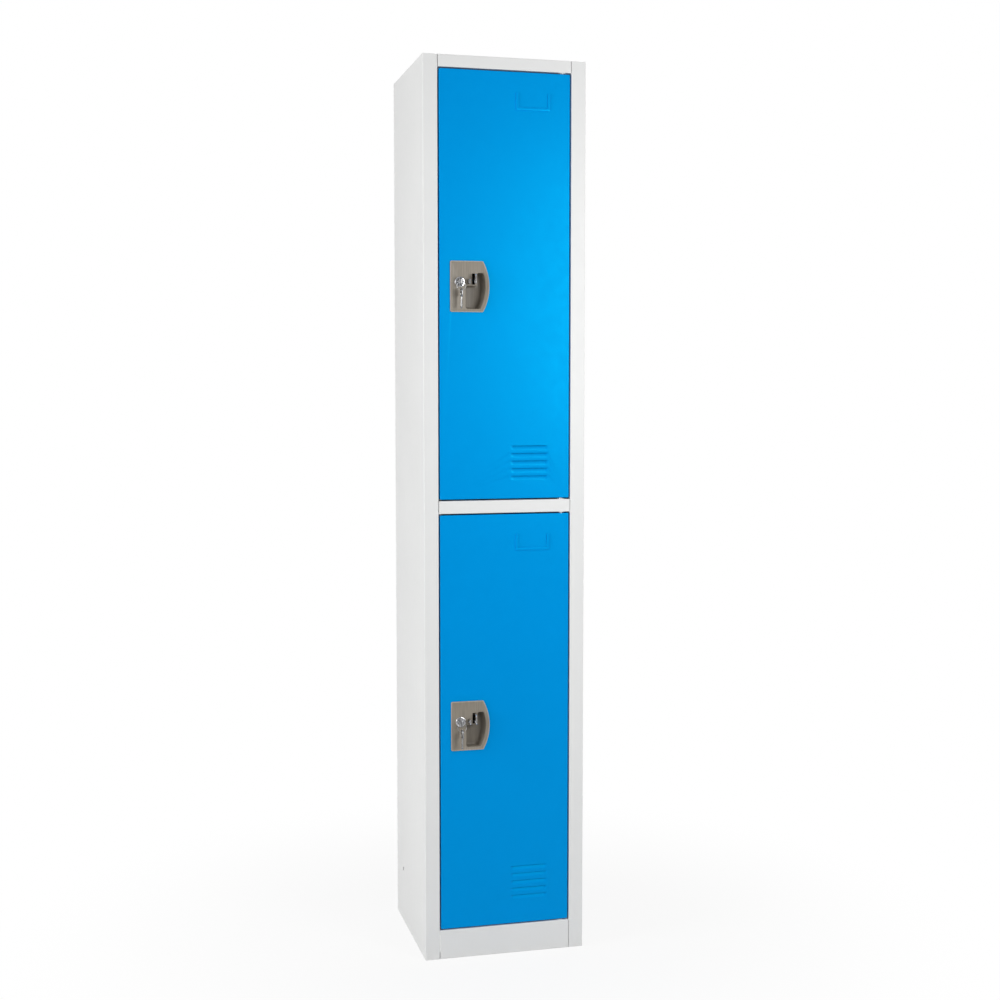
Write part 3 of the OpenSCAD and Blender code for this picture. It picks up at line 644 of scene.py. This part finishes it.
def lock_barrel(tier):
    """The barrel with its stepped face in front and its thread behind the plate."""
    low, high = cabinet_box(tier + "_lock_barrel")
    axis = ((low.x + high.x) / 2, 0, (low.z + high.z) / 2)
    bore, front, face = PLUG_BORE_R, BARREL_FRONT, BARREL_FACE_R
    profile = [
        (bore, front + 0.5), (bore + 0.15, front + 0.15), (bore + 0.5, front),
        (7.2, front), (7.35, front + 0.12), (7.65, front + 0.12), (7.8, front), (8.9, front),
        (9.5, front + 0.15), (10.05, front + 0.5), (10.4, front + 1.1), (face, front + 1.8),
        (face, -PLATE_PROUD), (BARREL_R, -PLATE_PROUD), (BARREL_R, 1.0),
    ]
    crest = THREAD_MARGIN
    while crest < BARREL_BACK - THREAD_MARGIN:
        profile += [(BARREL_R, crest), (BARREL_R - THREAD_DEPTH, crest + THREAD_PITCH / 2)]
        crest += THREAD_PITCH
    profile += [(BARREL_R, BARREL_BACK - 0.6), (BARREL_R - 0.5, BARREL_BACK), (bore, BARREL_BACK)]
    bm = bmesh.new()
    lathe(bm, profile)
    piece(tier + "_barrel", bm, tier + "_door", "chrome", [tier + "_lock_barrel"], 28, axis)


def key_outline(g):
    """Outline of a key's bow and blade, grown by g; its hole is at the origin."""
    bow_end = KEY_BOW_L - KEY_HOLE_IN
    half, w = KEY_BOW_W / 2, KEY_BLADE_W / 2
    tip = bow_end + KEY_BLADE_L
    cuts = [1.3, 0.7, 1.7, 1.0]
    teeth = []
    for i, depth in enumerate(cuts):
        x = bow_end + 5 + i * 4
        teeth += [(x - 0.4, -w), (x + 0.8, -w + depth), (x + 1.4, -w + depth), (x + 2.4, -w)]
    points = [
        (-KEY_HOLE_IN, -half), (bow_end, -half), (bow_end, -w), *teeth, (tip - 3, -w), (tip, -0.6),
        (tip, 0.6), (tip - 2, w), (bow_end, w), (bow_end, half), (-KEY_HOLE_IN, half),
    ]
    radii = [6, 4.2, 1.2, *[0.25] * len(teeth), 0.5, 0.5, 0.5, 0.8, 1.2, 4.2, 6]
    return grown(rounded(points, radii, 5), g)


def grown(outline, g):
    """A closed counterclockwise outline moved outwards by g."""
    n = len(outline)
    moved = []
    for i in range(n):
        u = (outline[i] - outline[i - 1]).normalized()
        v = (outline[(i + 1) % n] - outline[i]).normalized()
        a, b = Vector((u.y, -u.x)), Vector((v.y, -v.x))
        moved.append(outline[i] + g * (a + b) / max(0.35, 1 + a.dot(b)))
    return moved


def key_mesh():
    """A flat key with chamfered edges, sunk panels on its bow and a milled groove down its blade."""
    bm = bmesh.new()
    half = KEY_T / 2
    bow_end = KEY_BOW_L - KEY_HOLE_IN

    def height(z):
        return lambda p: (p[0], p[1], z)

    edge = [(-KEY_CHAMFER, -half), (0, KEY_CHAMFER - half), (0, half - KEY_CHAMFER), (-KEY_CHAMFER, half)]
    outer = [ring(bm, key_outline(g), height(z)) for g, z in edge]
    loft(bm, outer)
    hole = [ring(bm, circle((0, 0), KEY_HOLE_R - g, 28), height(z)) for g, z in edge]
    loft(bm, hole)
    panel = ((bow_end - 8, -5.2), (bow_end - 1.6, 5.2))
    groove = ((bow_end + 1.5, -0.8), (bow_end + KEY_BLADE_L - 4, 0.8))
    for side, sunk in ((0, KEY_SUNK), (-1, -KEY_SUNK)):
        z = edge[side][1]
        loops = []
        for (low, high), r in ((panel, 2.4), (groove, 0.7)):
            lip = ring(bm, round_box(low, high, r, 4), height(z))
            slope = Vector((KEY_SUNK, KEY_SUNK))
            bed_outline = round_box(Vector(low) + slope, Vector(high) - slope, r - KEY_SUNK, 4)
            bed = ring(bm, bed_outline, height(z + sunk))
            band(bm, lip, bed)
            cap(bm, bed)
            loops.append(lip)
        cap(bm, outer[side], hole[side], *loops)
    return bm


def key(tier):
    """The key in its lock: hole at the front, blade going back."""
    low, high = cabinet_box(tier + "_key")
    axis = Vector(((low.x + high.x) / 2, low.y + KEY_HOLE_IN, (low.z + high.z) / 2))
    bm = key_mesh()
    bm.transform(Matrix(((0, 0, 1, 0), (1, 0, 0, 0), (0, 1, 0, 0), (0, 0, 0, 1))))
    piece(tier + "_door_key", bm, tier + "_key_in_lock", "key_steel", [tier + "_key"], 25, axis)


def spare_key(tier):
    """The key on the ring: hole at the top, blade hanging down."""
    low, high = cabinet_box(tier + "_spare_key")
    axis = Vector(((low.x + high.x) / 2, (low.y + high.y) / 2, high.z - KEY_HOLE_IN))
    bm = key_mesh()
    bm.transform(Matrix(((0, 0, 1, 0), (0, 1, 0, 0), (-1, 0, 0, 0), (0, 0, 0, 1))))
    piece(tier + "_hanging_key", bm, tier + "_hanging_keys", "key_steel", [tier + "_spare_key"], 25, axis)


def key_ring(tier):
    """A split ring: two turns of wire side by side, with a crossing where it can be opened."""
    low, high = cabinet_box(tier + "_key_ring")
    centre = (low + high) / 2
    turns, steps, sides, start = 1.96, 150, 10, math.radians(75)
    crossing_from, crossing_to = 0.46, 0.54
    apart = RING_WIRE_R * 1.01
    bm = bmesh.new()
    rings = []
    for k in range(steps + 1):
        t = k / steps
        angle = start + 2 * math.pi * turns * t
        out = Vector((math.cos(angle), 0, math.sin(angle)))
        crossed = eased(min(1, max(0, (t - crossing_from) / (crossing_to - crossing_from))))
        spot = out * RING_R + Vector((0, (2 * crossed - 1) * apart, 0))
        wire = circle((0, 0), RING_WIRE_R, sides)
        rings.append([bm.verts.new(spot + out * p.x + Vector((0, p.y, 0))) for p in wire])
    loft(bm, rings)
    bm.faces.new(rings[0])
    bm.faces.new(rings[-1])
    piece(tier + "_split_ring", bm, tier + "_hanging_keys", "key_steel", [tier + "_key_ring"], 50, centre)


for tier in TIERS:
    door_panel(tier)
    card_holder(tier)
    handle_plate(tier)
    lock_barrel(tier)
    key(tier)
    spare_key(tier)
    key_ring(tier)


# ---- Floor, light and camera ---------------------------------------------------------------


FLOOR_R = 12
SHADOW_FROM, SHADOW_TO = 0.25, 1.1
SHADOW_WHITENED = 0.88
WHITE = grey(1.0)


def mixed(tree, factor, first, second):
    """A shader that goes from the first to the second with the factor."""
    mix = tree.nodes.new("ShaderNodeMixShader")
    tree.links.new(factor, mix.inputs["Fac"])
    tree.links.new(first, mix.inputs[1])
    tree.links.new(second, mix.inputs[2])
    return mix.outputs["Shader"]


def camera_ray(tree):
    """Whether a surface is seen directly, and not by its light on other surfaces."""
    return tree.nodes.new("ShaderNodeLightPath").outputs["Is Camera Ray"]


def studio_floor():
    """A pale floor with a faint shadow, whitened until it meets the white surroundings."""
    made = bpy.data.materials.new("studio_floor")
    made.use_nodes = True
    tree = made.node_tree
    tree.nodes.clear()
    coords = tree.nodes.new("ShaderNodeTexCoord").outputs["Object"]
    matt = node(tree, "ShaderNodeBsdfDiffuse", Color=grey(0.66))
    glow = node(tree, "ShaderNodeEmission", Color=WHITE, Strength=1.0)
    length = node(tree, "ShaderNodeVectorMath", operation="LENGTH")
    tree.links.new(coords, length.inputs[0])
    distance = length.outputs["Value"]
    smooth = {"interpolation_type": "SMOOTHSTEP"}
    whitened = spread(tree, distance, SHADOW_FROM, SHADOW_TO, SHADOW_WHITENED, **smooth)
    seen = node(tree, "ShaderNodeMath", operation="MULTIPLY")
    tree.links.new(whitened, seen.inputs[0])
    tree.links.new(camera_ray(tree), seen.inputs[1])
    shader = mixed(tree, seen.outputs["Value"], matt.outputs["BSDF"], glow.outputs["Emission"])
    output = tree.nodes.new("ShaderNodeOutputMaterial")
    tree.links.new(shader, output.inputs["Surface"])
    bm = bmesh.new()
    bmesh.ops.create_circle(bm, cap_ends=True, radius=FLOOR_R, segments=96)
    mesh = bpy.data.meshes.new("studio_floor")
    bm.to_mesh(mesh)
    bm.free()
    mesh.materials.append(made)
    floor = bpy.data.objects.new("studio_floor", mesh)
    bpy.context.scene.collection.objects.link(floor)


def surroundings():
    """White to look at, and softer than that as a source of light."""
    world = bpy.data.worlds.new("studio")
    bpy.context.scene.world = world
    world.use_nodes = True
    tree = world.node_tree
    tree.nodes.clear()
    coords = tree.nodes.new("ShaderNodeTexCoord").outputs["Generated"]
    height = spread(tree, along(tree, coords, "Z"), -1.0, 1.0)
    shade = ramp(tree, height, [(0.35, grey(0.25)), (0.5, grey(0.45)), (0.85, grey(0.9))])
    light = node(tree, "ShaderNodeBackground", Strength=0.6)
    tree.links.new(shade, light.inputs["Color"])
    seen = node(tree, "ShaderNodeBackground", Color=WHITE, Strength=1.0)
    shader = mixed(tree, camera_ray(tree), light.outputs["Background"], seen.outputs["Background"])
    output = tree.nodes.new("ShaderNodeOutputWorld")
    tree.links.new(shader, output.inputs["Surface"])


def softbox(name, place, target, size, watts):
    """A rectangular area light at a place in metres, turned towards a target."""
    light = bpy.data.lights.new(name, "AREA")
    light.shape = "RECTANGLE"
    light.size, light.size_y = size
    light.energy = watts
    made = bpy.data.objects.new(name, light)
    bpy.context.scene.collection.objects.link(made)
    made.location = place
    made.rotation_euler = (Vector(target) - Vector(place)).to_track_quat("-Z", "Y").to_euler()


studio_floor()
surroundings()
softbox("key_light", (0.92, -1.85, 1.42), target=(0, 0, 1.2), size=(0.72, 0.9), watts=21)
softbox("left_fill", (-2.6, -0.6, 1.4), target=(0, 0, 1.05), size=(1.2, 2.0), watts=49)
softbox("rear_fill", (1.1, 2.4, 1.6), target=(0, 0, 1.0), size=(1.2, 1.6), watts=16)

# The camera's place is in metres from the middle of the cabinet's foot.
CAMERA_PLACE = Vector((-0.759, -3.110, 1.174))
CAMERA_YAW = 14.23
CAMERA_DOWN = 4.285
LENS = 54.08
SENSOR = 36
camera = bpy.data.cameras.new("camera")
camera.sensor_width = SENSOR
camera.lens = LENS
camera_object = bpy.data.objects.new("camera", camera)
bpy.context.scene.collection.objects.link(camera_object)
middle = Vector((0, (CORNER.y + BACK_CORNER.y) / 2, 0))
camera_object.location = middle + CAMERA_PLACE
camera_object.rotation_euler = (math.radians(90 - CAMERA_DOWN), 0, math.radians(-CAMERA_YAW))
bpy.context.scene.camera = camera_object
bpy.context.scene.view_settings.view_transform = "Standard"
